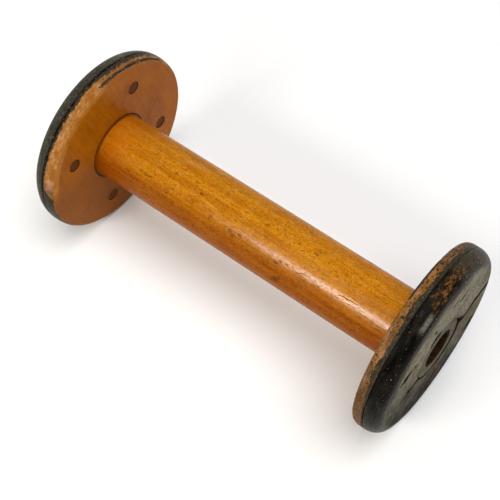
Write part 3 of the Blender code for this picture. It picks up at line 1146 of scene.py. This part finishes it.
def bare_wood(s, grain_deg):
    """The colour of handled bare wood: tan to orange-brown, pinkish in patches, dark in its pores."""
    grain = s.noise((1, 0.12, 1), 0.9, 4, 0.6, turn_deg=grain_deg)
    patch = s.noise((1, 0.5, 0.5), 0.22, 3, 0.6)
    speck = s.noise((1, 0.35, 0.35), 1.1, 4, 0.62)
    colour = s.ramp(
        grain,
        [(0.34, (0.265, 0.102, 0.019)), (0.50, (0.330, 0.138, 0.030)), (0.66, (0.400, 0.180, 0.046))],
    )
    colour = s.tint(colour, patch, 0.51, 0.62, 0.80, (0.46, 0.225, 0.125))
    colour = s.tint(colour, patch, 0.49, 0.38, 0.75, (0.24, 0.080, 0.012))
    colour = s.tint(colour, speck, 0.60, 0.69, 0.80, (0.045, 0.018, 0.006))
    return s.tint(colour, speck, 0.39, 0.31, 0.40, (0.64, 0.40, 0.17))


def inner_ply_finish(name, grain_deg):
    """Amber varnish on the flat face; worn wood with remains of black paint round the rim."""
    s = Shader(name)
    rim, paint, dirt = s.field("rim"), s.field("paint"), s.field("dirt")
    grain = s.noise((1, 0.10, 1), 0.55, 4, 0.6, 0.4, turn_deg=grain_deg)
    pores = s.noise((1, 0.25, 1), 2.2, 3, 0.6, turn_deg=grain_deg)
    cloud = s.noise(EVEN, 0.045, 4, 0.6)
    fine = s.noise((1, 0.6, 0.6), 1.7, 4, 0.65)
    face = s.ramp(
        s.weighted((grain, 0.45), (cloud, 0.55)),
        [(0.38, (0.290, 0.078, 0.0015)), (0.50, (0.365, 0.104, 0.0022)), (0.62, (0.420, 0.132, 0.0040))],
    )
    face = s.tint(face, pores, 0.58, 0.72, 0.45, (0.14, 0.038, 0.003))
    face = s.mix(dirt, face, (0.13, 0.042, 0.010))
    # Painted highlight: a pale band along the face's rounded edge.
    face = s.mix(s.field("edge_highlight"), face, (0.50, 0.200, 0.030))
    # Painted shade: the groove and the inside of the seam are coloured near black.
    face = s.mix(s.times(s.field("dark"), 0.85), face, (0.022, 0.008, 0.003))
    # Dirt, painted shadow on the left rim and darker lower parts darken the bare wood.
    grime_and_shadow = s.times(dirt, s.step(fine, 0.32, 0.62, 0.45, 1.0))
    wood = s.mix(grime_and_shadow, bare_wood(s, grain_deg), (0.050, 0.028, 0.011))
    at_paint = s.times(s.step(paint, 0.30, 0.42), s.step(fine, 0.54, 0.60))
    wood = s.mix(s.times(at_paint, 0.8), wood, (0.68, 0.45, 0.20))
    ragged = s.times(s.math("SUBTRACT", fine, 0.5), 0.9)
    painted = s.step(s.math("ADD", paint, ragged), 0.46, 0.54)
    black, paint_roughness, paint_shine = black_paint(s, 0.15, s.step(fine, 0.45, 0.75, 0.05, 0.35))
    colour = s.mix(painted, s.mix(rim, face, wood), black)
    roughness = s.between(rim, s.step(cloud, 0.35, 0.65, 0.26, 0.36), s.step(fine, 0.35, 0.65, 0.42, 0.62))
    roughness = s.between(painted, roughness, paint_roughness)
    face_height = s.times(s.noise(EVEN, 0.5, 3), 0.04)
    height = s.between(rim, face_height, s.weighted((painted, 0.06), (fine, 0.05)))
    shine = s.between(painted, s.between(rim, 0.06, 0.04), paint_shine)
    return s.finish(colour, roughness, height, shine)


def outer_ply_finish():
    """Black paint, deep round the rim and dusty olive on the face, chipped to the wood. The olive grey
    on the face is partly a painted reflection of the floor, and grey on the rims a painted sheen.
    """
    s = Shader("outer_ply_paint")
    bare, dust = s.field("bare"), s.field("dust")
    fine = s.noise((1, 0.7, 0.7), 1.9, 4, 0.65)
    flakes = s.noise((1, 0.6, 0.6), 1.3, 2, 0.5)
    grain = s.noise((1, 0.06, 1), 1.2, 4, 0.6, turn_deg=OUTER_GRAIN_DEG)
    scratch = s.noise((1, 0.05, 1), 1.8, 2, 0.5, turn_deg=OUTER_GRAIN_DEG + 25)
    painted = s.step(s.math("ADD", bare, s.math("SUBTRACT", fine, 0.5)), 0.54, 0.46)
    soiled = s.step(fine, 0.36, 0.60, 0.25, 0.85)
    wood = s.mix(soiled, bare_wood(s, OUTER_GRAIN_DEG), (0.085, 0.040, 0.014))
    black, paint_roughness, shine = black_paint(s, s.field("thin_paint"), dust)
    black = s.tint(black, flakes, 0.705, 0.735, 0.9, (0.42, 0.34, 0.21))
    colour = s.mix(painted, wood, black)
    grain_lines = s.times(s.step(grain, 0.52, 0.68, 0.0, 0.5), dust)
    colour = s.mix(grain_lines, colour, (0.035, 0.028, 0.017))
    # Stain beside the cracks, and painted shade on the hole wall and beside the opened joints.
    colour = s.mix(s.times(s.field("stain_and_gap_shade"), 0.93), colour, (0.010, 0.006, 0.004))
    roughness = s.between(painted, s.step(fine, 0.35, 0.65, 0.45, 0.62), paint_roughness)
    raised = s.times(grain, dust)
    scratched = s.step(scratch, 0.60, 0.70)
    height = s.weighted((painted, 0.05), (fine, 0.05), (raised, 0.12), (scratched, -0.03))
    shine = s.times(shine, s.between(s.field("flat"), 1.0, 0.05))
    return s.finish(colour, roughness, height, shine)


def tenon_end_finish():
    """The same dusty paint on the tenon's end."""
    s = Shader("tenon_end_paint")
    colour, roughness, _ = black_paint(s, s.field("thin_paint"), 0.55)
    return s.finish(colour, roughness, s.times(s.noise(EVEN, 1.2, 4, 0.6), 0.15), 0.0)


def bore_finish():
    """The dark wall of the bore: dark wood, painted darker still as the shade inside it."""
    s = Shader("bore_wood")
    grain = s.noise((0.15, 1, 1), 1.1, 4, 0.6)
    colour = s.ramp(grain, [(0.35, (0.006, 0.003, 0.001)), (0.65, (0.046, 0.019, 0.007))])
    return s.finish(colour, 0.75, s.times(grain, 0.25), 0.05)


def broken_wood():
    """The wood inside cracks and holes, painted near black: dirt, and painted shade in them."""
    s = Shader("crack_wood")
    fibre = s.noise((1, 1, 0.3), 1.6, 3, 0.6)
    colour = s.ramp(fibre, [(0.35, (0.004, 0.003, 0.002)), (0.70, (0.028, 0.014, 0.007))])
    return s.finish(colour, 0.85, s.times(fibre, 0.1), 0.1)


def dowel_finish():
    """Dark, dense end grain."""
    s = Shader("dowel_end_grain")
    spots = s.noise((0.1, 1, 1), 2.6, 4, 0.65)
    cloud = s.noise(EVEN, 0.35, 3, 0.6)
    colour = s.ramp(spots, [(0.34, (0.060, 0.018, 0.003)), (0.62, (0.165, 0.052, 0.008))])
    colour = s.tint(colour, cloud, 0.4, 0.65, 0.5, (0.12, 0.034, 0.004))
    return s.finish(colour, 0.42, s.times(spots, 0.10), 0.03)


# --- The stage ---

CAMERA_PLACE = (0.2187, -0.2894, 0.5893)
CAMERA_TILT_DEG = 33.43
CAMERA_TURN_DEG = 37.72
CAMERA_LENS = 82.0
CAMERA_NEAR = 0.01
FLOOR_HALF = 6.0
FLOOR_LOOK = {"Base Color": (0.88, 0.88, 0.885), "Roughness": 0.9, "IOR": 1.2}

# The softbox is aimed at AIM, in metres. Its brightness is its own, whatever its size.
AIM = (0.0, 0.0, 0.06)
SOFTBOX_PLACE = (-0.10, -0.83, 0.62)
SOFTBOX_SIZE = (0.48, 0.21)
SOFTBOX_RADIANCE = 19.0
SOFTBOX_TINT = (1.0, 0.95, 0.85)

# The overhead light comes from this direction.
OVERHEAD_FROM = (0.30, 0.0, 0.95)
OVERHEAD_WIDTH_DEG = 50.0
OVERHEAD_STRENGTH = 2.35

# The room is palest towards PALE_SIDE, and fades between these strengths.
PALE_SIDE = (-0.55, 0.85, 0.10)
ROOM_FADE = {"From Min": -0.1, "From Max": 0.8, "To Min": 0.05, "To Max": 0.75}
ROOM_COLOUR = (1.0, 0.99, 0.975, 1.0)


def add_camera():
    data = bpy.data.cameras.new("camera")
    data.lens = CAMERA_LENS
    data.clip_start = CAMERA_NEAR
    camera = add_object("camera", data)
    camera.location = CAMERA_PLACE
    camera.rotation_euler = (math.radians(CAMERA_TILT_DEG), 0, math.radians(CAMERA_TURN_DEG))
    bpy.context.scene.camera = camera


def add_floor():
    """A plain pale floor, much wider than any view of the bobbin."""
    mesh = bpy.data.meshes.new("floor")
    half = FLOOR_HALF
    around = [(-half, -half, 0), (half, -half, 0), (half, half, 0), (-half, half, 0)]
    mesh.from_pydata(around, [], [(0, 1, 2, 3)])
    mesh.materials.append(Shader("floor_white").made_of(FLOOR_LOOK))
    floor = add_object("floor", mesh)


def add_softbox():
    """The soft light that faces the bobbin, from behind the camera and to its left."""
    data = bpy.data.lights.new("side_softbox", "AREA")
    data.shape = "RECTANGLE"
    width, height = SOFTBOX_SIZE
    data.size, data.size_y = width, height
    data.energy = SOFTBOX_RADIANCE * math.pi * width * height
    data.color = SOFTBOX_TINT
    light = add_object("side_softbox", data)
    light.location = SOFTBOX_PLACE
    ahead = Vector(AIM) - Vector(SOFTBOX_PLACE)
    light.rotation_euler = ahead.to_track_quat("-Z", "Y").to_euler()


def add_overhead():
    """A broad, far-off overhead light, which lights the whole floor evenly."""
    data = bpy.data.lights.new("overhead", "SUN")
    data.angle = math.radians(OVERHEAD_WIDTH_DEG)
    data.energy = OVERHEAD_STRENGTH
    light = add_object("overhead", data)
    light.rotation_euler = Vector(OVERHEAD_FROM).to_track_quat("Z", "Y").to_euler()


def add_surroundings():
    """A dim room: dark on the camera's own side, paler low down to the left and the back."""
    world = bpy.data.worlds.new("studio")
    world.use_nodes = True
    tree = world.node_tree
    background = tree.nodes["Background"]
    direction = tree.nodes.new("ShaderNodeTexCoord").outputs["Generated"]
    away = tree.nodes.new("ShaderNodeVectorMath")
    away.operation = "DOT_PRODUCT"
    away.inputs[1].default_value = Vector(PALE_SIDE).normalized()
    tree.links.new(direction, away.inputs[0])
    fade = tree.nodes.new("ShaderNodeMapRange")
    fade.interpolation_type = "SMOOTHSTEP"
    for name, value in ROOM_FADE.items():
        fade.inputs[name].default_value = value
    tree.links.new(away.outputs["Value"], fade.inputs["Value"])
    tree.links.new(fade.outputs["Result"], background.inputs["Strength"])
    background.inputs["Color"].default_value = ROOM_COLOUR
    bpy.context.scene.world = world


def add_stage():
    add_camera()
    add_floor()
    add_surroundings()
    add_softbox()
    add_overhead()
    view = bpy.context.scene.view_settings
    view.view_transform = "Standard"
    view.look = "None"


# --- Everything together ---


def corners(box):
    """A box's two corners as plain lists."""
    return [list(corner) for corner in box]


def main():
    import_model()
    size = read_sizes()
    step = 1.0
    add_stage()
    inside = broken_wood()
    make_barrel(size, [varnished_barrel(), tenon_end_finish(), bore_finish()], inside, step)
    painted = outer_ply_finish()
    peg = dowel_finish()
    for label in SIDES:
        grain_deg = INNER_GRAIN_DEG + GRAIN_TURN_DEG[label]
        varnished = inner_ply_finish(f"{label}_inner_ply_varnish", grain_deg)
        make_inner_ply(label, size, varnished, inside, step)
        make_outer_ply(label, size, painted, inside, step)
        for number, centre in enumerate(dowel_centres(label, size), start=1):
            make_dowel(label, number, centre, size, peg)
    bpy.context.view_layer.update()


main()
